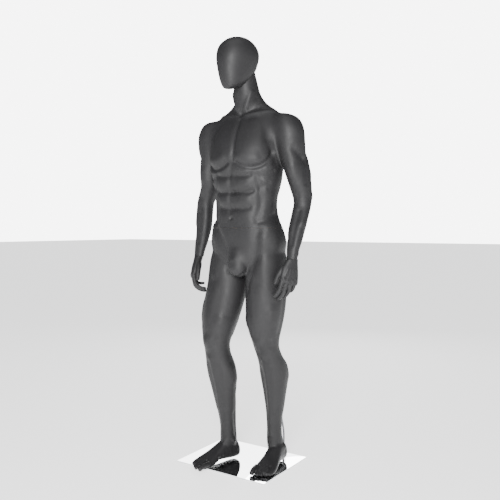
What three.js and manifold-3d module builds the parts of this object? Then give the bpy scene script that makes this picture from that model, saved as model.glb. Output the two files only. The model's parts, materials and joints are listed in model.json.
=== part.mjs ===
// A full-body male display mannequin with a plain egg head, in matt laminate, on a polished steel base plate.
// The hollow shells part at the neck, shoulders, wrists, waist and right hip. Each of those joints has a twist-lock
// fitting: a bar-headed stud on one side, turned behind a slotted plate on the other. A bent steel rod stands in a
// collar on the plate and holds the figure by a socket in the left calf.
//
// Millimetres, +Z up. The figure faces -Y and its left side is +X. The origin is the middle of the plate's underside.
import * as THREE from "three";
import { mergeVertices } from "three/addons/utils/BufferGeometryUtils.js";
import Module from "manifold-3d";

const wasm = await Module();
wasm.setup();
const { Vector3, Matrix4 } = THREE;

// ---------------------------------------------------------------------------------------------------------------
// Driving dimensions
// ---------------------------------------------------------------------------------------------------------------
const FIGURE_HEIGHT = 1855; // sole to crown
const DRAWN_HEIGHT = 1855; // the height at which the body tables below are drawn
const SIZE = FIGURE_HEIGHT / DRAWN_HEIGHT;

const WALL = 3.5; // laminate
const SEAM = 0.6; // between the two faces of a joint
const FIT = 0.3; // between pieces that touch
const PANEL = 12; // thickness of the boards that close the shells

const PLATE = { width: 457, depth: 355, thick: 6 };
const FIGURE_ON_PLATE = new Vector3(50, -36, PLATE.thick); // the body's own axis, from the plate's middle

const ROD = { radius: 4.75, bendHeight: 112, lean: 17, insertion: 70 };
const COLLAR = { radius: 8, height: 40 };
const SOCKET = { wall: 2, length: 86, proud: 3 };
const CALF_BLOCK = { low: 285, height: 40 };
const SET_SCREW = { radius: 2.4 };

// Twist-lock fittings, by size: plate and well radii, plate thickness, stud neck, bar, and the screws' circle.
const LARGE = { plate: 44, well: 34, thick: 4, neck: 14, barHalf: 30, barWidth: 22, screwCircle: 39 };
const MEDIUM = { plate: 33, well: 24, thick: 3, neck: 9, barHalf: 21, barWidth: 14, screwCircle: 28.5 };
const SMALL = { plate: 13, well: 9.6, thick: 2, neck: 4, barHalf: 8, barWidth: 6, screwCircle: 0 };
const BAR_THICK = 5;
const SCREW = { head: 3.4, shank: 1.6, length: 10 };
const ROUND = 16; // sides on a turned piece

// The neck: its radius at the top, what it gains per millimetre for a while below that, and how far down it runs.
const NECK = { radius: 46, taper: 0.15, taperRun: 90, depth: 190, sides: 24, gap: 1 };

// ---------------------------------------------------------------------------------------------------------------
// Solids and their skins
// ---------------------------------------------------------------------------------------------------------------

// A closed mesh, with no seams left in it, as a solid whose faces point out.
function solid(geometry) {
  const bare = new THREE.BufferGeometry();
  bare.setAttribute("position", geometry.getAttribute("position"));
  bare.setIndex(geometry.getIndex());
  const merged = mergeVertices(bare, 1e-4);
  const triVerts = new Uint32Array(merged.index.array);
  const make = () =>
    new wasm.Manifold(
      new wasm.Mesh({ numProp: 3, vertProperties: new Float32Array(merged.attributes.position.array), triVerts }),
    );
  const made = make();
  if (made.volume() > 0) return made;
  for (let i = 0; i < triVerts.length; i += 3) {
    [triVerts[i], triVerts[i + 1]] = [triVerts[i + 1], triVerts[i]];
  }
  return make();
}

// A closed skin through rings that all have the same number of points, with a fan over each end.
function skin(rings) {
  const sides = rings[0].length;
  const points = rings.flat();
  const index = [];
  for (let r = 0; r + 1 < rings.length; r++) {
    for (let i = 0; i < sides; i++) {
      const a = r * sides + i;
      const b = r * sides + ((i + 1) % sides);
      index.push(a, b, b + sides, a, b + sides, a + sides);
    }
  }
  const cap = (ring, start, turn) => {
    const middle = ring.reduce((sum, p) => sum.add(p), new Vector3()).divideScalar(sides);
    const centre = points.push(middle) - 1;
    for (let i = 0; i < sides; i++) {
      const pair = [start + i, start + ((i + 1) % sides)];
      if (turn) pair.reverse();
      index.push(centre, ...pair);
    }
  };
  const last = (rings.length - 1) * sides;
  cap(rings[0], 0, true);
  cap(rings[rings.length - 1], last, false);
  const geometry = new THREE.BufferGeometry().setFromPoints(points);
  geometry.setIndex(index);
  return solid(geometry);
}

// A section: half a width either way along u, and two depths along v, rounder or squarer by its power.
function ring(centre, u, v, half, behind, before, power, sides) {
  const soft = (t) => Math.sign(t) * Math.abs(t) ** (2 / power);
  return Array.from({ length: sides }, (_, i) => {
    const angle = (2 * Math.PI * i) / sides;
    const depth = Math.sin(angle) > 0 ? behind : before;
    return centre
      .clone()
      .addScaledVector(u, half * soft(Math.cos(angle)))
      .addScaledVector(v, depth * soft(Math.sin(angle)));
  });
}

// Rows of numbers that start with a height, read at any height along a smooth curve through them.
function rowAt(rows, height) {
  let i = rows.findIndex((row) => row[0] >= height);
  i = Math.max(1, i < 0 ? rows.length - 1 : i);
  const at = (n) => rows[Math.min(rows.length - 1, Math.max(0, n))];
  const [p0, p1, p2, p3] = [at(i - 2), at(i - 1), at(i), at(i + 1)];
  const span = p2[0] - p1[0];
  const t = (height - p1[0]) / span;
  return p1.map((value, column) => {
    const slope1 = (span * (p2[column] - p0[column])) / (p2[0] - p0[0]);
    const slope2 = (span * (p3[column] - value)) / (p3[0] - p1[0]);
    const rise = p2[column] - value;
    return value + t * (slope1 + t * (3 * rise - 2 * slope1 - slope2 + t * (slope1 + slope2 - 2 * rise)));
  });
}

// A limb or trunk through level sections. Rows: height, x, y, half width, front depth, back depth, power.
function column(rows, sides, step, inset = 0, relief = () => 0) {
  const end = inset > 0 ? WALL / SIZE : 0;
  const low = rows[0][0] + end;
  const high = rows[rows.length - 1][0] - end;
  const count = Math.ceil((high - low) / step);
  const across = new Vector3(1, 0, 0);
  const back = new Vector3(0, 1, 0);
  const levels = Array.from({ length: count + 1 }, (_, i) => low + ((high - low) * i) / count);
  const rings = levels.map((z) => {
    const [, x, y, half, front, rear, power] = rowAt(rows, z);
    const least = 2;
    const made = ring(
      new Vector3(x, y, z),
      across,
      back,
      Math.max(least, half),
      Math.max(least, rear),
      Math.max(least, front),
      power ?? 2,
      sides,
    );
    return made.map((p) => {
      const out = new Vector3(p.x - x, p.y - y, 0).normalize();
      const angle = Math.atan2(out.x, -out.y); // 0 at the front, growing towards the figure's left
      return p.addScaledVector(out, relief(z, angle) - inset / SIZE).multiplyScalar(SIZE);
    });
  });
  return skin(rings);
}

// A finger or toe: round sections along a path, with a rounded tip.
function digit(path, radii, sides, inset = 0) {
  const tip = path[path.length - 1];
  const heading = tip.clone().sub(path[path.length - 2]).normalize();
  const tipRadius = radii[radii.length - 1];
  const roundings = [
    [0.5, 0.86],
    [0.85, 0.5],
  ];
  const points = [...path, ...roundings.map(([ahead]) => tip.clone().addScaledVector(heading, ahead * tipRadius))];
  const sizes = [...radii, ...roundings.map(([, share]) => share * tipRadius)];
  const side = new Vector3(0.31, 0.11, 0.94).cross(heading).normalize();
  return skin(
    points.map((p, i) => {
      const ahead = points[Math.min(points.length - 1, i + 1)];
      const behind = points[Math.max(0, i - 1)];
      const along = ahead.clone().sub(behind).normalize();
      const v = along.clone().cross(side).normalize();
      const u = v.clone().cross(along).normalize();
      const r = Math.max(1, sizes[i] - inset);
      return ring(p, u, v, r, r, r, 2, sides).map((q) => q.multiplyScalar(SIZE));
    }),
  );
}

const joined = (...solids) => solids.reduce((sum, s) => sum.add(s));
const cut = (from, ...tools) => tools.reduce((left, tool) => left.subtract(tool), from);

// A turned piece about local z, from [radius, height] points that start and end on the axis.
function turned(profile, frame, sides = ROUND) {
  const points = profile.map(([r, z]) => new THREE.Vector2(r, z));
  const geometry = new THREE.LatheGeometry(points, sides).rotateX(Math.PI / 2);
  return solid(geometry.applyMatrix4(frame));
}

const disc = (radius, low, high, frame, sides = ROUND) =>
  turned([[0, low], [radius, low], [radius, high], [0, high]], frame, sides);

// A block between two heights of a frame.
function block(width, depth, low, high, frame) {
  const geometry = new THREE.BoxGeometry(width, depth, high - low);
  return solid(geometry.translate(0, 0, (low + high) / 2).applyMatrix4(frame));
}

// A frame at a point of the drawn body, its z along the given axis and its x as near as can be to `towards`.
function frameAt(point, axis, towards) {
  const z = axis.clone().normalize();
  const y = z.clone().cross(towards).normalize();
  const x = y.clone().cross(z);
  return new Matrix4().makeBasis(x, y, z).setPosition(point.clone().multiplyScalar(SIZE));
}

// ---------------------------------------------------------------------------------------------------------------
// The body, in its own axes: x from the middle, y from the ankles' and shoulders' line, z from the soles
// ---------------------------------------------------------------------------------------------------------------
const bump = (value, centre, width) => Math.exp(-(((value - centre) / width) ** 2));

const TRUNK = [
  [846, 4, 6, 46, 56, 62, 2.2],
  [862, 4, 4, 84, 82, 92, 2.2],
  [890, 4, 3, 138, 92, 112, 2.2],
  [925, 4, 2, 168, 96, 122, 2.2],
  [965, 4, 1, 179, 99, 120, 2.25],
  [1000, 4, 0, 176, 100, 108, 2.3],
  [1034, 3, 0, 166, 100, 97, 2.35],
  [1070, 2, 0, 151, 99, 88, 2.4],
  [1110, 1, 0, 143, 99, 82, 2.4],
  [1150, 0, 0, 143, 100, 83, 2.4],
  [1195, 0, 0, 150, 105, 92, 2.35],
  [1250, 0, 0, 163, 112, 107, 2.3],
  [1300, 0, 0, 170, 118, 116, 2.3],
  [1350, 0, 0, 168, 121, 121, 2.35],
  [1400, 0, 2, 166, 116, 122, 2.4],
  [1440, 0, 7, 168, 102, 118, 2.4],
  [1475, 0, 13, 168, 86, 108, 2.3],
  [1500, 0, 18, 166, 74, 98, 2.2],
  [1522, 2, 22, 156, 65, 89, 2.1],
  [1542, 3, 25, 134, 58, 82, 2],
  [1562, 3, 24, 101, 54, 75, 1.95],
  [1582, 2, 20, 77, 54, 68, 2],
  [1602, 1, 13, 65, 54, 61, 2],
  [1624, 0, 6, 57, 53, 55, 2],
  [1645, 0, 0, 48, 48, 48, 2],
];

// Chest, seat, shoulder blades and the front of the pelvis, over the plain trunk.
function trunkRelief(z, angle) {
  const both = (at, width) => bump(angle, at, width) + bump(angle, -at, width);
  const chest = 11 * bump(z, 1345, 52) * both(0.62, 0.5);
  const seat = 13 * bump(z, 915, 60) * both(Math.PI - 0.62, 0.5);
  const blades = 7 * bump(z, 1390, 70) * both(Math.PI - 0.7, 0.42);
  const spine = -7 * bump(z, 1180, 230) * (bump(angle, Math.PI, 0.26) + bump(angle, -Math.PI, 0.26));
  const front = 24 * bump(z, 880, 44) * bump(angle, 0, 0.36);
  return chest + seat + blades + spine + front;
}

// The left leg bears the weight: straight, and leaning back below the knee. Foot rows start at the ankle.
const LEFT_LEG = [
  [62, 97, 86, 31, 41, 35],
  [90, 95, 83, 34, 43, 39],
  [115, 94, 81, 34, 39, 41],
  [150, 94, 79, 33, 36, 40],
  [185, 94, 78, 34, 36, 43],
  [230, 95, 77, 38, 38, 48],
  [284, 95, 76, 46, 41, 56],
  [337, 96, 73, 54, 46, 65],
  [390, 97, 66, 60, 50, 72],
  [443, 96, 52, 58, 54, 68],
  [485, 94, 32, 54, 56, 58],
  [523, 92, 16, 55, 61, 54],
  [560, 91, 9, 62, 69, 58],
  [600, 91, 7, 72, 77, 68],
  [650, 92, 6, 82, 84, 78],
  [700, 94, 6, 87, 87, 84],
  [750, 95, 6, 89, 89, 90],
  [800, 96, 6, 90, 89, 96],
  [850, 96, 6, 91, 89, 103],
  [900, 96, 6, 88, 84, 104],
  [945, 94, 6, 76, 74, 92],
];

// The right leg stands a little forward, its knee bent.
const RIGHT_LEG = [
  [62, -96, 3, 31, 41, 35],
  [90, -97, 0, 34, 43, 39],
  [115, -98, -2, 35, 39, 41],
  [150, -98, -5, 34, 36, 41],
  [185, -99, -9, 36, 36, 44],
  [230, -101, -15, 40, 39, 50],
  [284, -104, -23, 48, 42, 58],
  [337, -107, -31, 56, 46, 67],
  [390, -110, -40, 62, 51, 73],
  [443, -113, -48, 60, 55, 69],
  [485, -116, -56, 56, 57, 58],
  [523, -118, -60, 57, 62, 56],
  [560, -117, -57, 64, 70, 60],
  [600, -114, -51, 74, 77, 70],
  [650, -109, -40, 84, 84, 80],
  [700, -104, -29, 89, 88, 87],
  [750, -99, -17, 91, 90, 92],
  [800, -96, -6, 91, 90, 98],
  [850, -96, 2, 91, 89, 104],
  [900, -95, 6, 88, 84, 104],
  [945, -92, 6, 76, 74, 92],
];

// The arms hang a little bent, each forearm coming forward.
const LEFT_ARM = [
  [892, 243, -28, 26, 20, 20],
  [917, 243, -26, 26, 20, 20],
  [950, 243, -16, 29, 24, 24],
  [990, 244, 0, 33, 29, 29],
  [1040, 245, 21, 37, 33, 33],
  [1090, 245, 44, 38, 34, 34],
  [1125, 244, 58, 38, 35, 37],
  [1155, 243, 61, 38, 38, 43],
  [1190, 240, 57, 43, 46, 50],
  [1225, 237, 50, 47, 55, 56],
  [1270, 229, 41, 50, 62, 62],
  [1320, 219, 31, 53, 64, 66],
  [1365, 211, 25, 57, 65, 67],
  [1405, 204, 22, 63, 66, 68],
  [1440, 199, 21, 67, 67, 68],
  [1472, 193, 20, 66, 64, 66],
  [1500, 185, 18, 58, 56, 58],
  [1518, 176, 16, 42, 42, 46],
  [1530, 167, 14, 22, 24, 26],
];
const RIGHT_ARM = [
  [892, -258, -13, 26, 20, 20],
  [917, -257, -10, 26, 20, 20],
  [950, -256, -1, 29, 24, 24],
  [990, -253, 9, 33, 29, 29],
  [1040, -250, 18, 37, 33, 33],
  [1090, -248, 21, 38, 34, 34],
  [1125, -248, 24, 38, 35, 37],
  [1155, -245, 24, 39, 38, 43],
  [1190, -231, 27, 43, 46, 50],
  [1225, -215, 29, 47, 55, 56],
  [1270, -211, 29, 50, 62, 62],
  [1320, -206, 25, 53, 64, 66],
  [1365, -203, 22, 57, 65, 67],
  [1405, -200, 20, 63, 66, 68],
  [1440, -196, 18, 66, 66, 67],
  [1472, -191, 16, 65, 62, 65],
  [1500, -184, 14, 57, 54, 56],
  [1516, -175, 12, 42, 40, 44],
  [1527, -166, 11, 22, 24, 26],
];

// The head, drawn facing straight ahead. Rows as for the trunk.
const HEAD = [
  [1626, 0, -120, 15, 10, 18],
  [1632, 0, -112, 28, 24, 32],
  [1646, 0, -100, 41, 43, 52],
  [1668, 0, -88, 53, 62, 74],
  [1695, 0, -77, 63, 79, 92],
  [1722, 0, -69, 71, 91, 101],
  [1748, 0, -64, 78, 98, 104],
  [1772, 0, -61, 82, 99, 106],
  [1796, 0, -60, 81, 94, 101],
  [1817, 0, -60, 73, 83, 88],
  [1834, 0, -60, 60, 65, 69],
  [1847, 0, -60, 42, 45, 48],
  [1854, 0, -60, 22, 23, 24],
];
const HEAD_YAW = -8; // degrees, a glance to the figure's right

const SIDES = { trunk: 28, leg: 16, arm: 16, head: 20, foot: 12, palm: 12, digit: 6 };
const STEP = { trunk: 34, leg: 46, arm: 42 };

// Inner skins carry half the sides, each corner lying under a corner of the outer skin.
const detail = (inset, whole) => (inset > 0 ? whole / 2 : whole);

function trunk(inset) {
  const body = column(TRUNK, detail(inset, SIDES.trunk), STEP.trunk, inset, trunkRelief);
  const neck = neckPlug(-inset, inset - NECK.depth, inset > 0 ? PANEL : 0);
  return joined(body, neck);
}

// The neck, turned about its joint's axis: it widens below the joint, then runs straight down into the throat.
function neckPlug(grow, low, high) {
  const radius = NECK.radius + grow;
  const wide = radius + Math.min(-low, NECK.taperRun) * NECK.taper;
  const profile = [[0, low], [wide, low]];
  if (-low > NECK.taperRun) profile.push([wide, -NECK.taperRun]);
  if (low < 0) profile.push([radius, 0]);
  if (high > 0) profile.push([radius, high]);
  return turned([...profile, [0, high]], joint.neck.frame, NECK.sides);
}

const leg = (rows, inset) => column(rows, detail(inset, SIDES.leg), STEP.leg, inset);

const arm = (rows, inset) => column(rows, detail(inset, SIDES.arm), STEP.arm, inset);

function head(inset) {
  const geometryTurn = new Matrix4().makeRotationZ(THREE.MathUtils.degToRad(HEAD_YAW));
  const rows = HEAD.filter(([z], i) => inset === 0 || (i > 0 && z < 1853));
  const rings = rows.map(([z, x, y, half, front, rear]) =>
    ring(
      new Vector3(x, y, z),
      new Vector3(1, 0, 0),
      new Vector3(0, 1, 0),
      half,
      rear,
      front,
      2.1,
      detail(inset, SIDES.head),
    ).map((p) => {
      const out = new Vector3(p.x - x, p.y - y, 0);
      const shrink = Math.max(0.1, 1 - inset / (SIZE * out.length()));
      const moved = new Vector3(x, y, z).addScaledVector(out, shrink);
      moved.z -= (inset * Math.max(0, z - 1772)) / 80 / SIZE;
      return moved.applyMatrix4(geometryTurn).multiplyScalar(SIZE);
    }),
  );
  return skin(rings);
}

// A foot with its five toes: upright sections from the heel forward. Rows: along, sideways, half width, low, high.
const FOOT = [
  [-2, 0, 10, 26, 44],
  [4, 0, 22, 14, 62],
  [18, 0, 30, 9, 84],
  [45, 0, 33, 9, 96],
  [80, 1, 34, 12, 92],
  [112, 2, 37, 14, 74],
  [145, 3, 42, 9, 54],
  [176, 3, 47, 1.5, 40],
  [199, 2, 48, 0.4, 32],
  [216, 1, 45, 1, 26],
  [226, 0, 40, 4, 21],
];
const TOES = [
  { sideways: -33, start: 202, length: 46, radius: 11.5 },
  { sideways: -11, start: 202, length: 45, radius: 8.5 },
  { sideways: 6, start: 200, length: 40, radius: 8 },
  { sideways: 21, start: 197, length: 34, radius: 7.6 },
  { sideways: 36, start: 192, length: 28, radius: 7.2 },
];

// heel: where the sole's rear end stands. turn: degrees that the toes point outward. side: +1 left, -1 right.
function foot(heel, turn, side, inset) {
  const angle = THREE.MathUtils.degToRad(turn) * side;
  const ahead = new Vector3(Math.sin(angle), -Math.cos(angle), 0);
  const outward = new Vector3(Math.cos(angle), Math.sin(angle), 0).multiplyScalar(side);
  const up = new Vector3(0, 0, 1);
  const spot = (along, sideways, z) =>
    heel.clone().addScaledVector(ahead, along).addScaledVector(outward, sideways).addScaledVector(up, z);
  const sections = FOOT.map(([along, sideways, half, low, high]) => {
    const middle = low + (high - low) * 0.4;
    const shrink = inset / SIZE;
    return ring(
      spot(along, sideways, middle),
      outward,
      up,
      Math.max(2, half - shrink),
      Math.max(2, high - middle - shrink),
      Math.max(2, middle - low - shrink),
      2.6,
      detail(inset, SIDES.foot),
    ).map((p) => p.multiplyScalar(SIZE));
  });
  const sole = skin(inset > 0 ? sections.slice(1, -1) : sections);
  if (inset > 0) return sole;
  const toes = TOES.map(({ sideways, start, length, radius }) => {
    const path = [
      spot(start - 14, sideways, radius + 10),
      spot(start + 0.35 * length, sideways, radius + 8),
      spot(start + 0.7 * length, sideways, radius + 2.5),
      spot(start + length - radius, sideways, radius + 1),
    ];
    return digit(path, [radius, radius * 0.96, radius * 0.9, radius * 0.92], SIDES.digit);
  });
  return joined(sole, ...toes);
}

const LEFT_FOOT = { heel: new Vector3(98, 141, 0), turn: 7 };
const RIGHT_FOOT = { heel: new Vector3(-84, 52, 0), turn: 16 };

const WRIST_HEIGHT = 905;

// A relaxed hand, drawn in its own axes: down from the wrist, across towards the thumb, and in towards the palm.
const PALM = [
  [-14, 0, 26, 20, 19],
  [4, 0, 26, 20, 19],
  [24, 1, 31, 19, 19],
  [48, 2, 37, 18, 18],
  [72, 1, 40, 16, 16],
  [92, 0, 41, 14, 13],
  [106, -1, 37, 10, 10],
];
const FINGERS = [
  { across: 30, start: 90, lengths: [42, 25, 20], radius: 9.4, curl: 0 },
  { across: 10.5, start: 95, lengths: [45, 28, 21], radius: 9.6, curl: 2 },
  { across: -9.5, start: 92, lengths: [42, 26, 20], radius: 9.1, curl: 4 },
  { across: -28, start: 84, lengths: [33, 19, 18], radius: 8, curl: 7 },
];
const THUMB = { path: [[28, 14, 6], [56, 36, 12], [82, 46, 17], [106, 49, 22]], radii: [14, 12.5, 10.4, 9] };

const HANDS = {
  left: {
    wrist: new Vector3(243, -27, WRIST_HEIGHT),
    along: new Vector3(-0.02, -0.24, -1),
    palmward: new Vector3(-0.85, 0.53, 0),
    side: 1,
    bends: [14, 26, 20],
  },
  right: {
    wrist: new Vector3(-258, -12, WRIST_HEIGHT),
    along: new Vector3(-0.11, -0.31, -1),
    palmward: new Vector3(0.76, 0.65, 0),
    side: -1,
    bends: [26, 36, 22],
  },
};

// bends: degrees at the knuckles and at the two finger joints beyond them.
function hand({ wrist, along, palmward, side, bends }) {
  const down = along.clone().normalize();
  const inward = palmward.clone().addScaledVector(down, -palmward.dot(down)).normalize();
  const thumbward = inward.clone().cross(down).normalize().multiplyScalar(side);
  const spot = (d, a, p) =>
    wrist.clone().addScaledVector(down, d).addScaledVector(thumbward, a).addScaledVector(inward, p);
  const palm = skin(
    PALM.map(([d, a, half, behind, before]) =>
      ring(spot(d, a, 0), thumbward, inward, half, before, behind, 2.3, SIDES.palm).map((p) => p.multiplyScalar(SIZE)),
    ),
  );
  const fingers = FINGERS.map(({ across, start, lengths, radius, curl }) => {
    const fan = (across * 0.06) / 30;
    let bend = 0;
    const position = [start, across, 0];
    const path = [spot(start - 22, across, 0), spot(...position)];
    lengths.forEach((length, i) => {
      bend += THREE.MathUtils.degToRad(bends[i] + curl);
      position[0] += length * Math.cos(bend);
      position[1] += length * fan;
      position[2] += length * Math.sin(bend);
      path.push(spot(...position));
    });
    return digit(path, [radius, radius * 1.04, radius * 0.96, radius * 0.88, radius * 0.78], SIDES.digit);
  });
  const thumbPath = THUMB.path.map((p) => spot(...p));
  const thumb = digit(thumbPath, THUMB.radii, SIDES.digit);
  return joined(palm, ...fingers, thumb);
}

// ---------------------------------------------------------------------------------------------------------------
// Joints: each frame's z points from the slotted plate's side to the stud's side, with z = 0 on the plate's face
// ---------------------------------------------------------------------------------------------------------------
const tilted = (degrees, x, z) => {
  const angle = THREE.MathUtils.degToRad(degrees);
  return new Vector3(x * Math.cos(angle), 0, z * Math.sin(angle));
};
const forward = new Vector3(0, -1, 0);

const SHOULDER_TILT = 4.4;
const HIP_TILT = 42;
const WAIST_HEIGHT = 1034;

const joint = {
  neck: { frame: frameAt(new Vector3(0, -19, 1708), new Vector3(0, -0.2, 1), new Vector3(1, 0, 0)), kit: MEDIUM },
  waist: { frame: frameAt(new Vector3(3, 2, WAIST_HEIGHT), new Vector3(0, 0, 1), new Vector3(1, 0, 0)), kit: LARGE },
  leftShoulder: { frame: frameAt(new Vector3(159, 20, 1438), tilted(SHOULDER_TILT, 1, 1), forward), kit: MEDIUM },
  rightShoulder: { frame: frameAt(new Vector3(-159, 17, 1438), tilted(SHOULDER_TILT, -1, 1), forward), kit: MEDIUM },
  leftWrist: { frame: frameAt(HANDS.left.wrist, new Vector3(0, 0, -1), forward), kit: SMALL },
  rightWrist: { frame: frameAt(HANDS.right.wrist, new Vector3(0, 0, -1), forward), kit: SMALL },
  rightHip: { frame: frameAt(new Vector3(-90, 8, 922), tilted(90 - HIP_TILT, -1, -1), forward), kit: LARGE },
};

// The stud: a flange let into its panel, a neck through the plate, and a bar lying across the plate's slot.
function stud({ frame, kit }) {
  const { well, thick, neck, barHalf, barWidth } = kit;
  const barTop = -thick - 1;
  const flange = disc(well, SEAM, SEAM + thick, frame);
  const shank = disc(neck, barTop - BAR_THICK, SEAM + 1, frame);
  const bar = block(barWidth, 2 * barHalf, barTop - BAR_THICK, barTop, frame);
  return joined(flange, shank, bar);
}

// One countersunk wood screw, or with grow the hole that it sits in.
function screw(place, grow) {
  const { head: h, shank: s, length } = SCREW;
  const profile = [
    [0, -length - grow],
    [s + grow, -length - grow],
    [s + grow, -2.4],
    [h + grow, -0.6],
    [h + grow, grow > 0 ? 1 : -0.2],
    [0, grow > 0 ? 1 : -0.2],
  ];
  return turned(profile, place, 6);
}

function screwPlaces({ frame, kit }) {
  if (!kit.screwCircle) return [];
  return [1, -1].map((way) => frame.clone().multiply(new Matrix4().makeTranslation(0, way * kit.screwCircle, 0)));
}

// The slotted plate: the stud's bar drops through the slot, then turns behind it.
function slottedPlate({ frame, kit }, holes) {
  const { plate, thick, neck, barHalf, barWidth } = kit;
  const slot = block(2 * (barHalf + 1), barWidth + 2, -thick - 1, 1, frame);
  const eye = disc(neck + FIT, -thick - 1, 1, frame);
  return cut(disc(plate, -thick, 0, frame), slot, eye, ...holes);
}

// The board behind the plate: it fills the shell's opening, with a seat for the plate and a well for the bar.
function plateBoard({ frame, kit }, core, holes) {
  const slab = block(2 * REACH, 2 * REACH, -PANEL, 0, frame);
  const seat = disc(kit.plate + FIT, -kit.thick - FIT, 1, frame);
  const well = disc(kit.well, -PANEL - 1, 0, frame);
  return cut(core.intersect(slab), seat, well, ...holes);
}

function studBoard({ frame, kit }, core) {
  const slab = block(2 * REACH, 2 * REACH, SEAM, SEAM + PANEL, frame);
  const seat = disc(kit.well + FIT, SEAM - 1, SEAM + kit.thick + FIT, frame);
  return cut(core.intersect(slab), seat);
}

const REACH = 900; // how far a joint's cutting blocks reach from its middle, to clear the whole figure
const plateSide = ({ frame }, face = 0) => block(2 * REACH, 2 * REACH, -REACH, face, frame);
const studSide = ({ frame }, face = 0) => block(2 * REACH, 2 * REACH, face, REACH, frame);

const level = (z) => frameAt(new Vector3(0, 0, z), new Vector3(0, 0, 1), new Vector3(1, 0, 0));
const above = (z, gap = 0) => block(900, 900, gap, 1400, level(z));
const below = (z, gap = 0) => block(900, 900, -1400, gap, level(z));

// ---------------------------------------------------------------------------------------------------------------
// The body's solids at one inset: 0 for the outer skin, the wall for the hollow, a little more for the boards
// ---------------------------------------------------------------------------------------------------------------
function figure(inset) {
  const torso = trunk(inset);
  const arms = { left: arm(LEFT_ARM, inset), right: arm(RIGHT_ARM, inset) };
  const leftLeg = joined(leg(LEFT_LEG, inset), foot(LEFT_FOOT.heel, LEFT_FOOT.turn, 1, inset));
  const rightLeg = joined(leg(RIGHT_LEG, inset), foot(RIGHT_FOOT.heel, RIGHT_FOOT.turn, -1, inset));
  return { torso, arms, leftLeg, rightLeg, head: head(inset) };
}

const outer = figure(0);
const hollow = figure(WALL);
const core = figure(WALL + FIT);

const torsoAndArms = (f) =>
  joined(
    f.torso,
    f.arms.left.intersect(plateSide(joint.leftShoulder, 2 * PANEL)),
    f.arms.right.intersect(plateSide(joint.rightShoulder, 2 * PANEL)),
  );
const armAndShoulder = (f, side) =>
  joined(f.arms[side], f.torso.intersect(studSide(joint[side + "Shoulder"], -2 * PANEL)));
const hips = (f) => joined(f.torso, f.rightLeg);

// ---------------------------------------------------------------------------------------------------------------
// Shells
// ---------------------------------------------------------------------------------------------------------------
function torsoShell() {
  const whole = torsoAndArms(outer);
  const trimmed = cut(whole, below(WAIST_HEIGHT, SEAM), studSide(joint.leftShoulder), studSide(joint.rightShoulder));
  return cut(trimmed, torsoAndArms(hollow));
}

function pelvisShell() {
  const hipPart = hips(outer).intersect(plateSide(joint.rightHip));
  const whole = joined(hipPart.intersect(below(WAIST_HEIGHT)), outer.leftLeg.intersect(below(WAIST_HEIGHT)));
  const inside = joined(hips(hollow).intersect(plateSide(joint.rightHip, 2 * PANEL)), hollow.leftLeg);
  return cut(whole, inside, studSide(joint.waist), calfBore(SOCKET.wall + FIT));
}

function rightLegShell() {
  const whole = hips(outer).intersect(studSide(joint.rightHip, SEAM));
  return cut(whole, hips(hollow));
}

function armShell(side) {
  const shoulder = joint[side + "Shoulder"];
  const whole = cut(armAndShoulder(outer, side), plateSide(shoulder, SEAM), below(WRIST_HEIGHT));
  return cut(whole, armAndShoulder(hollow, side));
}

// The neck stands in a sleeve inside the head, so the joint is hidden behind the jaw.
function headShell() {
  const boardTop = SEAM + PANEL;
  const inside = cut(hollow.head, neckPlug(NECK.gap + WALL, -160, boardTop));
  return cut(outer.head, inside, neckPlug(NECK.gap, -160, boardTop + 2));
}

function handSolid(side) {
  const { frame, kit } = joint[side + "Wrist"];
  const seat = disc(kit.well + FIT, SEAM - 1, SEAM + kit.thick + FIT, frame);
  return cut(hand(HANDS[side]), above(WRIST_HEIGHT, -SEAM), seat);
}

// ---------------------------------------------------------------------------------------------------------------
// The stand
// ---------------------------------------------------------------------------------------------------------------
const ROD_FOOT = new Vector3(87, 171, 0);
const lean = THREE.MathUtils.degToRad(ROD.lean);
const leanAxis = new Vector3(0, -Math.sin(lean), Math.cos(lean));
const rodStart = ROD_FOOT.clone().multiplyScalar(SIZE);
const bend = rodStart.clone().setZ(ROD.bendHeight);
const CALF_ENTRY_RISE = 153; // from the bend to the calf's surface, along the leaning stretch
const calfEntry = bend.clone().addScaledVector(leanAxis, CALF_ENTRY_RISE * SIZE);
const calfFrame = new Matrix4()
  .makeBasis(new Vector3(1, 0, 0), new Vector3(0, Math.cos(lean), Math.sin(lean)), leanAxis)
  .setPosition(calfEntry);

const calfBore = (grow) => disc(ROD.radius + FIT + grow, -40, SOCKET.length + FIT - SOCKET.proud, calfFrame, 12);

function calfSocket() {
  const bore = ROD.radius + FIT;
  const tube = disc(bore + SOCKET.wall, -SOCKET.proud, SOCKET.length - SOCKET.proud, calfFrame, 12);
  return cut(tube, disc(bore, -30, SOCKET.length - SOCKET.proud - SOCKET.wall, calfFrame, 12));
}

// The wooden block that holds the socket inside the calf.
function calfBlock() {
  const slab = block(REACH, REACH, 0, CALF_BLOCK.height, level(CALF_BLOCK.low));
  return cut(core.leftLeg.intersect(slab), calfBore(SOCKET.wall + FIT));
}

function rod() {
  const path = new THREE.CurvePath();
  const foot = rodStart.clone().setZ(2);
  const top = calfEntry.clone().addScaledVector(leanAxis, ROD.insertion - SOCKET.proud);
  const before = bend.clone().setZ(ROD.bendHeight - 25);
  const after = bend.clone().addScaledVector(leanAxis, 25);
  path.add(new THREE.LineCurve3(foot, before));
  path.add(new THREE.QuadraticBezierCurve3(before, bend, after));
  path.add(new THREE.LineCurve3(after, top));
  const section = new THREE.Shape().absarc(0, 0, ROD.radius, 0, 2 * Math.PI);
  const geometry = new THREE.ExtrudeGeometry(section, { steps: 18, curveSegments: 5, extrudePath: path });
  return solid(geometry);
}

const upright = (z) => new Matrix4().setPosition(new Vector3(rodStart.x, rodStart.y, z));

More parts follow.
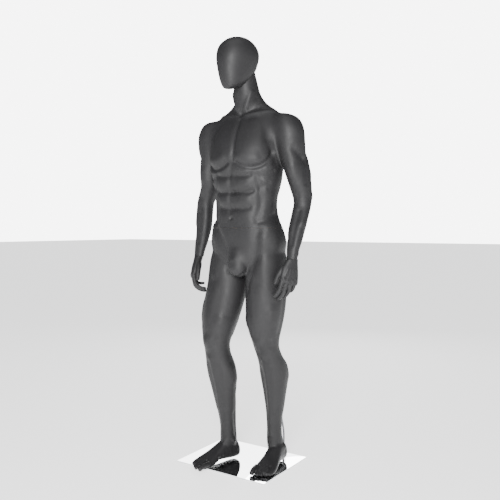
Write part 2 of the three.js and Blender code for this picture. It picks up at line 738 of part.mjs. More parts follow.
function collar() {
  const tube = disc(COLLAR.radius, FIT, COLLAR.height, upright(0));
  const bore = disc(ROD.radius + FIT, 1.5, COLLAR.height + 1, upright(0), 12);
  const spigot = disc(COLLAR.radius - 2, -PLATE.thick + 2.6, FIT + 0.5, upright(0));
  return cut(joined(tube, spigot), bore, setScrewPlace(SET_SCREW.radius + FIT / 2));
}

function setScrewPlace(radius) {
  const place = new Matrix4().makeRotationX(-Math.PI / 2).setPosition(rodStart.x, rodStart.y, COLLAR.height * 0.6);
  return disc(radius, ROD.radius + FIT + 0.1, COLLAR.radius + 1.2, place, 10);
}

function basePlate() {
  const middle = FIGURE_ON_PLATE.clone().negate();
  const slab = new THREE.BoxGeometry(PLATE.width, PLATE.depth, PLATE.thick);
  slab.translate(middle.x, middle.y, -PLATE.thick / 2);
  return cut(solid(slab), disc(COLLAR.radius - 2 + FIT, -PLATE.thick - 1, 1, upright(0)));
}

// ---------------------------------------------------------------------------------------------------------------
// Materials
// ---------------------------------------------------------------------------------------------------------------
const matt = (color, roughness, metalness = 0) => new THREE.MeshStandardMaterial({ color, roughness, metalness });
const laminate = matt(0x4a4a4c, 0.62);
const board = matt(0x8a6a48, 0.8);
const zinc = matt(0xb8bcc0, 0.35, 1);
const polished = matt(0xd8dadc, 0.08, 1);
const darkSteel = matt(0x4c4d50, 0.3, 1);

// ---------------------------------------------------------------------------------------------------------------
// Assembly
// ---------------------------------------------------------------------------------------------------------------
const mannequin = new THREE.Group();
mannequin.name = "mannequin";
mannequin.position.copy(FIGURE_ON_PLATE);

function add(name, made, material) {
  const { vertProperties, triVerts, numProp } = made.getMesh();
  const positions = new Float32Array((vertProperties.length / numProp) * 3);
  for (let i = 0; i < positions.length / 3; i++) {
    positions.set(vertProperties.subarray(i * numProp, i * numProp + 3), 3 * i);
  }
  const geometry = new THREE.BufferGeometry();
  geometry.setAttribute("position", new THREE.BufferAttribute(positions, 3));
  geometry.setIndex(new THREE.BufferAttribute(triVerts, 1));
  geometry.computeVertexNormals();
  const mesh = new THREE.Mesh(geometry, material);
  mesh.name = name;
  mannequin.add(mesh);
}

// A joint's plate, its screws, its boards and its stud. A board's core is what it has to fill.
function addFitting(name, place, plateCore, studCore) {
  const places = screwPlaces(place);
  const holes = places.map((at) => screw(at, FIT));
  add(name + "_plate_board", plateBoard(place, plateCore, holes), board);
  if (studCore) add(name + "_stud_board", studBoard(place, studCore), board);
  add(name + "_slotted_plate", slottedPlate(place, holes), zinc);
  add(name + "_stud", stud(place), zinc);
  places.forEach((at, i) => add(name + "_screw_" + (i + 1), screw(at, 0), zinc));
}

add("head_shell", headShell(), laminate);
add("torso_shell", torsoShell(), laminate);
add("pelvis_and_left_leg_shell", pelvisShell(), laminate);
add("right_leg_shell", rightLegShell(), laminate);
for (const side of ["left", "right"]) {
  add(side + "_arm_shell", armShell(side), laminate);
  add(side + "_hand", handSolid(side), laminate);
  addFitting(side + "_shoulder", joint[side + "Shoulder"], torsoAndArms(core), armAndShoulder(core, side));
  addFitting(side + "_wrist", joint[side + "Wrist"], core.arms[side]);
}
const neckFill = neckPlug(-WALL - FIT, -2 * PANEL, 0);
const sleeveFill = neckPlug(NECK.gap - FIT, 0, 2 * PANEL);
addFitting("neck", joint.neck, neckFill, sleeveFill);
addFitting("waist", joint.waist, core.torso, core.torso);
addFitting("right_hip", joint.rightHip, hips(core), hips(core));

add("base_plate", basePlate(), polished);
add("rod_collar", collar(), polished);
add("collar_set_screw", setScrewPlace(SET_SCREW.radius), darkSteel);
add("calf_rod", rod(), darkSteel);
add("calf_socket", calfSocket(), zinc);
add("calf_block", calfBlock(), board);

export default mannequin;
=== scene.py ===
import json
import math

import bpy
import numpy as np
from mathutils import Matrix, Vector

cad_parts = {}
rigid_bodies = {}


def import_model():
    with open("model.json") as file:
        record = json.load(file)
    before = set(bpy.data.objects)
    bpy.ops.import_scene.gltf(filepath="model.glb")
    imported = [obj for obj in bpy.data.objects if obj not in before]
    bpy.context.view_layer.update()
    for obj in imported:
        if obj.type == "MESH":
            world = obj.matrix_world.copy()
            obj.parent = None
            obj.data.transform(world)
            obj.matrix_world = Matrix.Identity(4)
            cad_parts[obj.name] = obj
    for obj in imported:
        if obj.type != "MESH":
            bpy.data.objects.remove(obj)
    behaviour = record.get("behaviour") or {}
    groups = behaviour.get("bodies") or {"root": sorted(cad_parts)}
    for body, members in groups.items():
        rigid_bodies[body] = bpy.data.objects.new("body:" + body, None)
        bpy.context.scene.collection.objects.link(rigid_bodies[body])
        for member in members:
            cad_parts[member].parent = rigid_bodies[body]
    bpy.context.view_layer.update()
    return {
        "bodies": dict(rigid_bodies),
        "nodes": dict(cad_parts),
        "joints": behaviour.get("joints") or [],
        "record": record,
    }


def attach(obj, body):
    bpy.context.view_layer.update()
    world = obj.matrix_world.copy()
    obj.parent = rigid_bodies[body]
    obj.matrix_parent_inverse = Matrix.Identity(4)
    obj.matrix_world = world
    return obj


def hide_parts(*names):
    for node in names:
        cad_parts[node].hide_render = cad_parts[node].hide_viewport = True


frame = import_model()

nodes = frame["nodes"]
bpy.ops.object.select_all(action="DESELECT")

# ----------------------------------------------------------------------------------------------------
# Camera
# At waist height in front of the figure's left shoulder, level, with the feet just inside the frame.
# ----------------------------------------------------------------------------------------------------
CAMERA_AZIMUTH = math.radians(33.7)
bpy.ops.object.camera_add(location=(1.571, -2.292, 1.04), rotation=(math.pi / 2, 0, CAMERA_AZIMUTH))
camera = bpy.context.object
camera.data.lens = 44.64
camera.data.sensor_width = 36
camera.data.shift_y = -0.044
bpy.context.scene.camera = camera

# ----------------------------------------------------------------------------------------------------
# Studio
# A seamless pale floor, one large softbox beside the camera, and weak fill from above and behind.
# ----------------------------------------------------------------------------------------------------
FIGURE_MIDDLE = Vector((0.05, -0.04, 1.05))


def softbox(name, place, size, watts):
    bpy.ops.object.light_add(type="AREA", location=place)
    light = bpy.context.object
    light.name = name
    light.data.shape = "DISK"
    light.data.size = size
    light.data.energy = watts
    light.rotation_euler = (FIGURE_MIDDLE - light.location).to_track_quat("-Z", "Y").to_euler()


softbox("key_softbox", (1.35, -2.7, 1.9), 1.0, 122)
softbox("low_softbox", (1.7, -2.2, 0.5), 0.9, 22)
softbox("top_softbox", (0.2, -0.6, 3.4), 1.8, 12)
softbox("back_softbox", (-1.3, 2.9, 2.0), 1.6, 45)

bpy.ops.mesh.primitive_plane_add(size=80, location=(0, 0, 0))
floor = bpy.context.object
floor.name = "studio_floor"
floor_paint = bpy.data.materials.new("studio_floor")
floor_paint.use_nodes = True
floor_shader = floor_paint.node_tree.nodes["Principled BSDF"]
floor_shader.inputs["Base Color"].default_value = (0.86, 0.86, 0.86, 1)
floor_shader.inputs["Roughness"].default_value = 0.9
floor_shader.inputs["Specular IOR Level"].default_value = 0.1
floor_shader.inputs["Emission Color"].default_value = (1, 1, 1, 1)
floor_shader.inputs["Emission Strength"].default_value = 1.7
floor.data.materials.append(floor_paint)

world = bpy.data.worlds.new("studio")
bpy.context.scene.world = world
world.use_nodes = True
world_nodes = world.node_tree.nodes
world_links = world.node_tree.links
room_light = world_nodes["Background"]
room_light.inputs["Color"].default_value = (0.93, 0.95, 1.0, 1)
room_light.inputs["Strength"].default_value = 0.2
white_sky = world_nodes.new("ShaderNodeBackground")
white_sky.inputs["Color"].default_value = (1, 1, 1, 1)
white_sky.inputs["Strength"].default_value = 7
seen = world_nodes.new("ShaderNodeLightPath")
either = world_nodes.new("ShaderNodeMath")
either.operation = "MAXIMUM"
mix = world_nodes.new("ShaderNodeMixShader")
world_links.new(seen.outputs["Is Camera Ray"], either.inputs[0])
world_links.new(seen.outputs["Is Singular Ray"], either.inputs[1])
world_links.new(either.outputs[0], mix.inputs[0])
world_links.new(room_light.outputs[0], mix.inputs[1])
world_links.new(white_sky.outputs[0], mix.inputs[2])
world_links.new(mix.outputs[0], world_nodes["World Output"].inputs["Surface"])

# ----------------------------------------------------------------------------------------------------
# Skin finish
# Glass-fibre laminate sprayed in matt charcoal: an even dark grey with a fine orange peel, a low soft sheen,
# and a little variation from handling.
# ----------------------------------------------------------------------------------------------------


def shader_nodes(name):
    material = bpy.data.materials.new(name)
    material.use_nodes = True
    tree = material.node_tree
    return material, tree, tree.nodes["Principled BSDF"]


def noise(tree, scale, detail=4.0, stretch=(1, 1, 1)):
    place = tree.nodes.new("ShaderNodeTexCoord")
    fit = tree.nodes.new("ShaderNodeMapping")
    fit.inputs["Scale"].default_value = stretch
    texture = tree.nodes.new("ShaderNodeTexNoise")
    texture.inputs["Scale"].default_value = scale
    texture.inputs["Detail"].default_value = detail
    tree.links.new(place.outputs["Object"], fit.inputs["Vector"])
    tree.links.new(fit.outputs["Vector"], texture.inputs["Vector"])
    return texture.outputs["Fac"]


def ramp(tree, source, low, high, start=0.3, end=0.7):
    made = tree.nodes.new("ShaderNodeValToRGB")
    made.color_ramp.elements[0].position = start
    made.color_ramp.elements[1].position = end
    made.color_ramp.elements[0].color = low
    made.color_ramp.elements[1].color = high
    tree.links.new(source, made.inputs["Fac"])
    return made.outputs["Color"]


def grey(value):
    return (value, value, value, 1)


def bump(tree, shader, source, strength, distance):
    made = tree.nodes.new("ShaderNodeBump")
    made.inputs["Strength"].default_value = strength
    made.inputs["Distance"].default_value = distance
    tree.links.new(source, made.inputs["Height"])
    tree.links.new(made.outputs["Normal"], shader.inputs["Normal"])


def charcoal_laminate():
    material, tree, shader = shader_nodes("matt_charcoal_laminate")
    colour = ramp(tree, noise(tree, 9), (0.0150, 0.0147, 0.0155, 1), (0.0185, 0.0181, 0.0192, 1))
    tree.links.new(colour, shader.inputs["Base Color"])
    tree.links.new(ramp(tree, noise(tree, 60), grey(0.5), grey(0.58)), shader.inputs["Roughness"])
    shader.inputs["Specular IOR Level"].default_value = 0.36
    bump(tree, shader, noise(tree, 900, 2), 0.12, 0.0004)
    return material


laminate = charcoal_laminate()

# ----------------------------------------------------------------------------------------------------
# Body form
# The sculptor's plug that the moulds are taken from: trunk, limbs and feet lofted through level sections,
# closed into one skin and modelled over with swells and grooves. In millimetres, from the body's own axis
# at the sole. Rows: height, x, y, half width, front depth, back depth, squareness.
# ----------------------------------------------------------------------------------------------------
FIGURE_ON_PLATE = np.array([50.0, -36.0, 6.0])

TRUNK = [
    (846, 4, 6, 46, 56, 62, 2.2), (862, 4, 4, 84, 82, 92, 2.2), (890, 4, 3, 138, 92, 112, 2.2),
    (925, 4, 2, 168, 96, 122, 2.2), (965, 4, 1, 179, 99, 120, 2.25), (1000, 4, 0, 176, 100, 108, 2.3),
    (1034, 3, 0, 166, 100, 97, 2.35), (1070, 2, 0, 151, 99, 88, 2.4), (1110, 1, 0, 143, 99, 82, 2.4),
    (1150, 0, 0, 143, 100, 83, 2.4), (1195, 0, 0, 150, 105, 92, 2.35), (1250, 0, 0, 163, 112, 107, 2.3),
    (1300, 0, 0, 170, 118, 116, 2.3), (1350, 0, 0, 168, 121, 121, 2.35), (1400, 0, 2, 166, 116, 122, 2.4),
    (1440, 0, 7, 168, 102, 118, 2.4), (1475, 0, 13, 168, 86, 108, 2.3), (1500, 0, 18, 166, 74, 98, 2.2),
    (1522, 2, 22, 156, 65, 89, 2.1), (1542, 3, 25, 134, 58, 82, 2.0), (1562, 3, 24, 101, 54, 75, 1.95),
    (1582, 2, 20, 77, 54, 68, 2.0), (1602, 1, 13, 65, 54, 61, 2.0), (1624, 0, 6, 57, 53, 55, 2.0),
    (1645, 0, 0, 48, 48, 48, 2.0),
]
FRONT = [
    (822, 6, -74, 6, 8, 8), (829, 6, -75, 24, 23, 20), (842, 6, -75, 37, 35, 30), (864, 6, -74, 44, 41, 40),
    (895, 6, -68, 48, 41, 40), (930, 6, -60, 50, 38, 40), (965, 6, -50, 44, 28, 40),
]
LEFT_LEG = [
    (62, 97, 86, 31, 41, 35), (90, 95, 83, 34, 43, 39), (115, 94, 81, 34, 39, 41),
    (150, 94, 79, 33, 36, 40),
    (185, 94, 78, 34, 36, 43), (230, 95, 77, 38, 38, 48), (284, 95, 76, 46, 41, 56),
    (337, 96, 73, 54, 46, 65),
    (390, 97, 66, 60, 50, 72), (443, 96, 52, 58, 54, 68), (485, 94, 32, 54, 56, 58),
    (523, 92, 16, 55, 61, 54),
    (560, 91, 9, 62, 69, 58), (600, 91, 7, 72, 77, 68), (650, 92, 6, 82, 84, 78), (700, 94, 6, 87, 87, 84),
    (750, 95, 6, 89, 89, 90), (800, 96, 6, 90, 89, 96), (850, 96, 6, 91, 89, 103),
    (900, 96, 6, 88, 84, 104),
    (945, 94, 6, 76, 74, 92),
]
RIGHT_LEG = [
    (62, -96, 3, 31, 41, 35), (90, -97, 0, 34, 43, 39), (115, -98, -2, 35, 39, 41),
    (150, -98, -5, 34, 36, 41),
    (185, -99, -9, 36, 36, 44), (230, -101, -15, 40, 39, 50), (284, -104, -23, 48, 42, 58),
    (337, -107, -31, 56, 46, 67), (390, -110, -40, 62, 51, 73), (443, -113, -48, 60, 55, 69),
    (485, -116, -56, 56, 57, 58), (523, -118, -60, 57, 62, 56), (560, -117, -57, 64, 70, 60),
    (600, -114, -51, 74, 77, 70), (650, -109, -40, 84, 84, 80), (700, -104, -29, 89, 88, 87),
    (750, -99, -17, 91, 90, 92), (800, -96, -6, 91, 90, 98), (850, -96, 2, 91, 89, 104),
    (900, -95, 6, 88, 84, 104), (945, -92, 6, 76, 74, 92),
]
LEFT_ARM = [
    (870, 243, -29, 26, 20, 20), (892, 243, -28, 26, 20, 20), (917, 243, -26, 26, 20, 20),
    (950, 243, -16, 29, 24, 24),
    (990, 244, 0, 33, 29, 29), (1040, 245, 21, 37, 33, 33), (1090, 245, 44, 38, 34, 34),
    (1125, 244, 58, 38, 35, 37), (1155, 243, 61, 38, 38, 43), (1190, 240, 57, 43, 46, 50),
    (1225, 237, 50, 47, 55, 56), (1270, 229, 41, 50, 62, 62), (1320, 219, 31, 53, 64, 66),
    (1365, 211, 25, 57, 65, 67), (1405, 204, 22, 63, 66, 68), (1440, 199, 21, 67, 67, 68),
    (1472, 193, 20, 66, 64, 66), (1500, 185, 18, 58, 56, 58), (1518, 176, 16, 42, 42, 46),
    (1530, 167, 14, 22, 24, 26),
]
RIGHT_ARM = [
    (870, -259, -14, 26, 20, 20), (892, -258, -13, 26, 20, 20), (917, -257, -10, 26, 20, 20),
    (950, -256, -1, 29, 24, 24),
    (990, -253, 9, 33, 29, 29), (1040, -250, 18, 37, 33, 33), (1090, -248, 21, 38, 34, 34),
    (1125, -248, 24, 38, 35, 37), (1155, -245, 24, 39, 38, 43), (1190, -231, 27, 43, 46, 50),
    (1225, -215, 29, 47, 55, 56), (1270, -211, 29, 50, 62, 62), (1320, -206, 25, 53, 64, 66),
    (1365, -203, 22, 57, 65, 67), (1405, -200, 20, 63, 66, 68), (1440, -196, 18, 66, 66, 67),
    (1472, -191, 16, 65, 62, 65), (1500, -184, 14, 57, 54, 56), (1516, -175, 12, 42, 40, 44),
    (1527, -166, 11, 22, 24, 26),
]


def rows_at(rows, heights):
    """Rows read at any heights, along a smooth curve through them."""
    table = np.array([row if len(row) == 7 else (*row, 2.0) for row in rows], float)
    level = table[:, 0]
    ahead = np.minimum(np.arange(len(table)) + 1, len(table) - 1)
    behind = np.maximum(np.arange(len(table)) - 1, 0)
    slope = (table[ahead] - table[behind]) / (level[ahead] - level[behind])[:, None]
    i = np.clip(np.searchsorted(level, heights), 1, len(table) - 1)
    span = (level[i] - level[i - 1])[:, None]
    t = (np.asarray(heights)[:, None] - level[i - 1][:, None]) / span
    p, q = table[i - 1], table[i]
    m, n = slope[i - 1] * span, slope[i] * span
    rise = q - p
    return p + t * (m + t * (3 * rise - 2 * m - n + t * (m + n - 2 * rise)))


def ring(centre, u, v, half, behind, before, power, sides):
    angle = np.linspace(0, 2 * np.pi, sides, endpoint=False)
    c, s = np.cos(angle), np.sin(angle)
    across = half * np.sign(c) * np.abs(c) ** (2 / power)
    deep = np.where(s > 0, behind, before) * np.sign(s) * np.abs(s) ** (2 / power)
    return np.asarray(centre, float) + across[:, None] * np.asarray(u) + deep[:, None] * np.asarray(v)


def loft(name, rings):
    """A closed skin through rings of equal count, each end closed by a fan."""
    sides, count = len(rings[0]), len(rings)
    points = [p for one in rings for p in one]
    faces = []
    for r in range(count - 1):
        for i in range(sides):
            a, b = r * sides + i, r * sides + (i + 1) % sides
            faces.append((a, b, b + sides, a + sides))
    for start, turned in ((0, True), ((count - 1) * sides, False)):
        middle = len(points)
        points.append(np.mean(rings[0 if turned else -1], axis=0))
        for i in range(sides):
            pair = (start + i, start + (i + 1) % sides)
            faces.append((middle, *(reversed(pair) if turned else pair)))
    mesh = bpy.data.meshes.new(name)
    mesh.from_pydata([tuple((p + FIGURE_ON_PLATE) / 1000) for p in points], [], faces)
    made = bpy.data.objects.new(name, mesh)
    bpy.context.collection.objects.link(made)
    bpy.context.view_layer.objects.active = made
    made.select_set(True)
    bpy.ops.object.mode_set(mode="EDIT")
    bpy.ops.mesh.select_all(action="SELECT")
    bpy.ops.mesh.normals_make_consistent(inside=False)
    bpy.ops.object.mode_set(mode="OBJECT")
    made.select_set(False)
    return made


def swell(values, at, width):
    return np.exp(-(((values - at) / width) ** 2))


def trunk_relief(z, angle):
    """Chest, seat, shoulder blades and the front of the pelvis. Angle 0 is the front, growing to the left."""
    both = lambda at, width: swell(angle, at, width) + swell(angle, -at, width)
    made = 11 * swell(z, 1345, 52) * both(0.62, 0.5)
    made += 13 * swell(z, 915, 60) * both(math.pi - 0.62, 0.5)
    made += 7 * swell(z, 1390, 70) * both(math.pi - 0.7, 0.42)
    made -= 7 * swell(z, 1180, 230) * both(math.pi, 0.26)
    made += 24 * swell(z, 880, 44) * swell(angle, 0, 0.36)
    return made


def column(name, rows, sides, step, relief=None):
    heights = np.arange(rows[0][0], rows[-1][0] + 0.01, step)
    rings = []
    for z, x, y, half, front, back, power in rows_at(rows, heights):
        made = ring((x, y, z), (1, 0, 0),
            (0, 1, 0), max(2, half), max(2, back), max(2, front), power, sides)
        if relief:
            out = made - (x, y, z)
            out /= np.linalg.norm(out, axis=1)[:, None]
            made = made + out * relief(z, np.arctan2(out[:, 0], -out[:, 1]))[:, None]
        rings.append(made)
    return loft(name, rings)


def digit(name, path, radii, sides):
    """A finger or toe: round sections along a smooth path, with a rounded tip."""
    path, radii = np.array(path, float), np.array(radii, float)
    stations = np.linspace(0, len(path) - 1, 5 * (len(path) - 1) + 1)
    table = np.column_stack([np.arange(len(path)), path, radii, radii, radii])
    smooth = rows_at([tuple(row) for row in table], stations)
    points, sizes = smooth[:, 1:4], smooth[:, 4]
    heading = points[-1] - points[-2]
    heading /= np.linalg.norm(heading)
    for turn in np.radians((20, 40, 58, 74, 86)):
        points = np.vstack([points, smooth[-1, 1:4] + heading * sizes[len(stations) - 1] * math.sin(turn)])
        sizes = np.append(sizes, sizes[len(stations) - 1] * math.cos(turn))
    side = np.cross((0.31, 0.11, 0.94), heading)
    side /= np.linalg.norm(side)
    rings = []
    for i, p in enumerate(points):
        along = points[min(i + 1, len(points) - 1)] - points[max(i - 1, 0)]
        along /= np.linalg.norm(along)
        v = np.cross(along, side)
        v /= np.linalg.norm(v)
        rings.append(ring(p, np.cross(v, along), v, sizes[i], sizes[i], sizes[i], 2, sides))
    return loft(name, rings)


# A foot: upright sections from the heel forward. Rows: along, sideways, half width, low, high.
FOOT = [
    (-2, 0, 10, 26, 44), (4, 0, 22, 14, 62), (18, 0, 30, 9, 84), (45, 0, 33, 9, 96), (80, 1, 34, 12, 92),
    (112, 2, 37, 14, 74), (145, 3, 42, 9, 54), (176, 3, 47, 1.5, 40), (199, 2, 48, 0.4, 32),
    (216, 1, 45, 1, 26),
    (226, 0, 40, 4, 21),
]
# Each toe: sideways, where it starts, length, radius.
TOES = [(-36, 202, 46, 11.5), (-9.5, 202, 45, 8.5), (6, 200, 40, 8.0), (21, 197, 34, 7.6),
    (36, 192, 28, 7.2)]


def foot(heel, turn, side):
    angle = math.radians(turn) * side
    ahead = np.array([math.sin(angle), -math.cos(angle), 0])
    outward = np.array([math.cos(angle), math.sin(angle), 0]) * side
    up = np.array([0, 0, 1.0])
    spot = lambda along, sideways, z: np.array(heel) + ahead * along + outward * sideways + up * z
    stations = np.arange(FOOT[0][0], FOOT[-1][0] + 0.01, 4)
    table = [(a, s, h, low, high, 0, 2.6) for a, s, h, low, high in FOOT]
    rings = []
    for a, s, h, low, high, _, power in rows_at(table, stations):
        middle = low + (high - low) * 0.4
        rings.append(ring(spot(a, s, middle), outward, up, h, high - middle, middle - low, power, 40))
    made = [loft("foot", rings)]
    for s, start, length, r in TOES:
        path = [
            spot(start - 14, s, r + 10), spot(start + 0.35 * length, s, r + 8),
            spot(start + 0.7 * length, s, r + 2.5), spot(start + length - r, s, r + 1),
        ]
        made.append(digit("toe", path, [r, r * 0.96, r * 0.9, r * 0.92], 20))
    return made


NECK_CENTRE = np.array([0, -19, 1708.0])
NECK_DIRECTION = np.array([0, -0.2, 1]) / math.hypot(0.2, 1)
NECK_RADIUS, NECK_TAPER = 46, 0.15


def neck_plug(grow, low, high):
    """The neck, turned about its joint's axis: wider towards the throat, straight above the joint."""
    v = np.cross(NECK_DIRECTION, (1, 0, 0))
    levels = [low, low / 2, 0] + ([high] if high > 0 else [])
    rings = []
    for level in levels:
        radius = NECK_RADIUS + grow - min(max(level, -90), 0) * NECK_TAPER
        rings.append(ring(NECK_CENTRE + NECK_DIRECTION * level, (1, 0, 0), v, radius, radius, radius, 2, 96))
    return loft("neck_plug", rings)


def joined(parts, name):
    bpy.ops.object.select_all(action="DESELECT")
    for part in parts:
        part.select_set(True)
    bpy.context.view_layer.objects.active = parts[0]
    if len(parts) > 1:
        bpy.ops.object.join()
    made = bpy.context.object
    made.name = name
    made.select_set(False)
    return made


def apply_modifier(piece, kind, **settings):
    bpy.ops.object.select_all(action="DESELECT")
    piece.select_set(True)
    bpy.context.view_layer.objects.active = piece
    made = piece.modifiers.new(kind.lower(), kind)
    for name, value in settings.items():
        setattr(made, name, value)
    bpy.ops.object.modifier_apply(modifier=made.name)
    piece.select_set(False)


def one_skin(piece, voxel):
    apply_modifier(piece, "REMESH", mode="VOXEL", voxel_size=voxel, use_smooth_shade=True)


def points_of(piece):
    flat = np.empty(len(piece.data.vertices) * 3, np.float32)
    piece.data.vertices.foreach_get("co", flat)
    return flat.reshape(-1, 3).astype(float) * 1000 - FIGURE_ON_PLATE


def normals_of(piece):
    flat = np.empty(len(piece.data.vertices) * 3, np.float32)
    piece.data.vertices.foreach_get("normal", flat)
    return flat.reshape(-1, 3).astype(float)


def set_points(piece, points):
    piece.data.vertices.foreach_set("co", ((points + FIGURE_ON_PLATE) / 1000).astype(np.float32).ravel())
    piece.data.update()


def relax(piece, times, share=0.5, regain=0.0):
    """Evens out the skin. share: how far each point goes to its neighbours' middle, by point or for all."""
    points = points_of(piece)
    edges = np.empty(len(piece.data.edges) * 2, np.int64)
    piece.data.edges.foreach_get("vertices", edges)
    a, b = edges.reshape(-1, 2).T
    count = np.bincount(a, minlength=len(points)) + np.bincount(b, minlength=len(points))
    count = np.maximum(1, count)[:, None]
    share = np.broadcast_to(np.asarray(share, float), len(points))[:, None]
    for turn in range(times):
        for step in (share, -regain * share) if regain else (share,):
            near = np.column_stack([
                np.bincount(a, points[b, k], len(points)) + np.bincount(b, points[a, k], len(points))
                for k in range(3)
            ])
            points = points + step * (near / count - points)
    set_points(piece, points)


# Modelling strokes. Each is a line of points on the skin, how deep (a groove is negative) and how wide.
def smooth_line(line):
    line = np.array(line, float)
    if len(line) == 1:
        return line
    reach = np.linalg.norm(np.diff(line, axis=0), axis=1).sum()
    fine = np.linspace(0, len(line) - 1, max(6, int(reach / 2.5)))
    table = [(s, *p, 0, 0, 0) for s, p in enumerate(line)]
    return rows_at(table, fine)[:, 1:4]


def fade_of(fine, width):
    """How much of a stroke is left at each point: it dies away over its own width towards both ends."""
    if len(fine) == 1:
        return np.ones(1)
    run = np.append(0, np.cumsum(np.linalg.norm(np.diff(fine, axis=0), axis=1)))
    t = np.clip(np.minimum(run, run[-1] - run) / min(1.6 * width, 0.35 * run[-1]), 0, 1)
    return 0.15 + 0.85 * t * t * (3 - 2 * t) if run[-1] > 2 * width else np.ones(len(fine))


def model(piece, strokes, keep=None):
    points, normals = points_of(piece), normals_of(piece)
    moved = np.zeros(len(points))
    for line, depth, width in strokes:
        fine = smooth_line(line)
        reach = 2.6 * width
        near = np.all((points > fine.min(0) - reach) & (points < fine.max(0) + reach), axis=1)
        if not near.any():
            continue
        gap = np.linalg.norm(points[near][:, None] - fine[None], axis=2)
        closest = gap.argmin(axis=1)
        facing = normals[near] @ normals[near][gap.min(axis=1).argmin()]
        amount = depth * np.exp(-((gap.min(axis=1) / width) ** 2)) * fade_of(fine, width)[closest]
        moved[near] += amount * np.clip(facing * 2 + 0.4, 0, 1)
    if keep is not None:
        moved *= keep
    set_points(piece, points + normals * moved[:, None])


def mirrored(strokes):
    return strokes + [([(-x, y, z) for x, y, z in line], depth, width) for line, depth, width in strokes]


def around(rows, height, degrees, side=1):
    """A point on a limb's skin: degrees from its front, towards the figure's outer side."""
    z, x, y, half, front, back, power = rows_at(rows, [height])[0]
    angle = math.radians(degrees)
    out = np.array([side * math.sin(angle), -math.cos(angle)])
    deep = back if out[1] > 0 else front
    reach = (abs(out[0] / half) ** power + abs(out[1] / deep) ** power) ** (-1 / power)
    return (x + out[0] * reach, y + out[1] * reach, z)


def on(rows, side, places, depth, width):
    return ([around(rows, z, degrees, side) for z, degrees in places], depth, width)


TORSO_MIDDLE = [
    ([(-3, -49, 1515), (2, -72, 1476), (5, -91, 1447), (10, -112, 1406), (13, -124, 1362),
      (7, -123, 1315)], -7, 11),
    ([(9, -122, 1335), (-1, -120, 1296), (-11, -113, 1259), (-14, -108, 1221), (-18, -103, 1188),
      (-20, -99, 1154), (-21, -98, 1120), (-18, -98, 1080)], -4.5, 13),
    ([(-16, -98, 1076)], -6, 8),
    ([(0, -44, 1530)], -9, 15),
]
TORSO_LEFT = [
    ([(10, -123, 1322), (45, -121, 1296), (88, -109, 1286), (122, -91, 1292), (144, -76, 1306),
      (157, -60, 1328),
      (166, -39, 1364)], -9, 11),
    ([(22, -125, 1350), (62, -122, 1324), (100, -110, 1320), (132, -88, 1340)], 6, 22),
    ([(88, -31, 1522), (116, -48, 1481), (135, -60, 1444), (146, -65, 1409), (156, -60, 1375)], -5, 20),
    ([(148, -62, 1392), (161, -52, 1358), (168, -40, 1325), (172, -24, 1290)], -4.5, 15),
    ([(6, -42, 1514), (40, -35, 1522), (76, -27, 1527), (116, -11, 1531), (150, 10, 1533)], 5, 9),
    ([(16, -30, 1538), (43, -25, 1542), (90, -8, 1550)], -6, 12),
    ([(30, -48, 1498), (70, -42, 1506), (105, -30, 1510)], -3, 12),
    ([(50, -26, 1634), (42, -40, 1600), (27, -40, 1568), (11, -38, 1534)], 5, 11),
    ([(190, 16, 1516), (200, 16, 1500)], -6, 40),
    ([(62, -5, 1610), (52, -12, 1566), (44, -16, 1544)], -5, 14),
    ([(132, -80, 1278), (150, -62, 1290), (164, -36, 1304)], 2.5, 14),
    ([(114, -86, 1250), (136, -67, 1250), (152, -52, 1262), (166, -25, 1280)], -3.5, 10),
    ([(122, -80, 1230), (141, -64, 1230), (156, -44, 1246)], 2, 13),
    ([(106, -82, 1206), (123, -70, 1205), (136, -59, 1214), (151, -40, 1232)], -3, 10),
    ([(112, -76, 1184), (130, -62, 1183), (146, -44, 1196)], 2, 14),
    ([(0, -113, 1258), (45, -110, 1253), (100, -96, 1262)], -5.5, 11),
    ([(-14, -104, 1184), (33, -102, 1187), (70, -97, 1184), (104, -88, 1196)], -7, 11),
    ([(-14, -100, 1118), (40, -99, 1116), (90, -90, 1126)], -5, 12),
    ([(38, -108, 1221), (66, -104, 1221)], 6, 24), ([(38, -102, 1151), (64, -98, 1152)], 6, 25),
    ([(40, -114, 1284), (62, -112, 1280)], 3, 20), ([(36, -100, 1082), (60, -96, 1080)], 3, 26),
    ([(104, -92, 1276), (116, -78, 1216), (118, -72, 1180), (118, -68, 1143), (112, -74, 1101),
      (96, -88, 1050)],
     -5, 16),
    ([(146, -20, 1200), (142, -24, 1140), (146, -22, 1085)], 4, 26),
    ([(92, -92, 1046), (116, -76, 1060), (136, -57, 1072), (152, -24, 1086), (158, 20, 1094)], -5, 13),
    ([(126, -70, 1024), (152, -42, 1044), (166, 10, 1056)], 3, 15),
]
TORSO_RIGHT = [([(-x, y, z) for x, y, z in line], depth, width) for line, depth, width in TORSO_LEFT]
TORSO_BACK = [
    ([(0, 80, 1520), (0, 108, 1440), (0, 112, 1370), (0, 98, 1290), (0, 82, 1200), (0, 76, 1130),
      (0, 88, 1040)],
     -7, 13),
]
TORSO_BACK_SIDES = mirrored([
    ([(36, 86, 1260), (34, 80, 1160), (36, 88, 1080), (34, 100, 1020)], 5, 18),
    ([(50, 124, 1470), (60, 128, 1400), (74, 124, 1340), (110, 108, 1312)], -5.5, 15),
    ([(92, 112, 1440), (118, 104, 1400), (124, 98, 1350)], 5, 26),
    ([(26, 90, 1512), (80, 92, 1502), (136, 84, 1490)], 4, 22),
    ([(120, 92, 1300), (132, 70, 1240), (132, 58, 1170)], 5, 20),
    ([(104, 98, 1260), (92, 84, 1180), (80, 84, 1100)], -4, 17),
    ([(36, 108, 1012)], -4, 12),
    ([(50, 70, 1600), (40, 92, 1545)], 3, 18),
    ([(0, 66, 1650), (0, 80, 1580)], -3, 12),
])
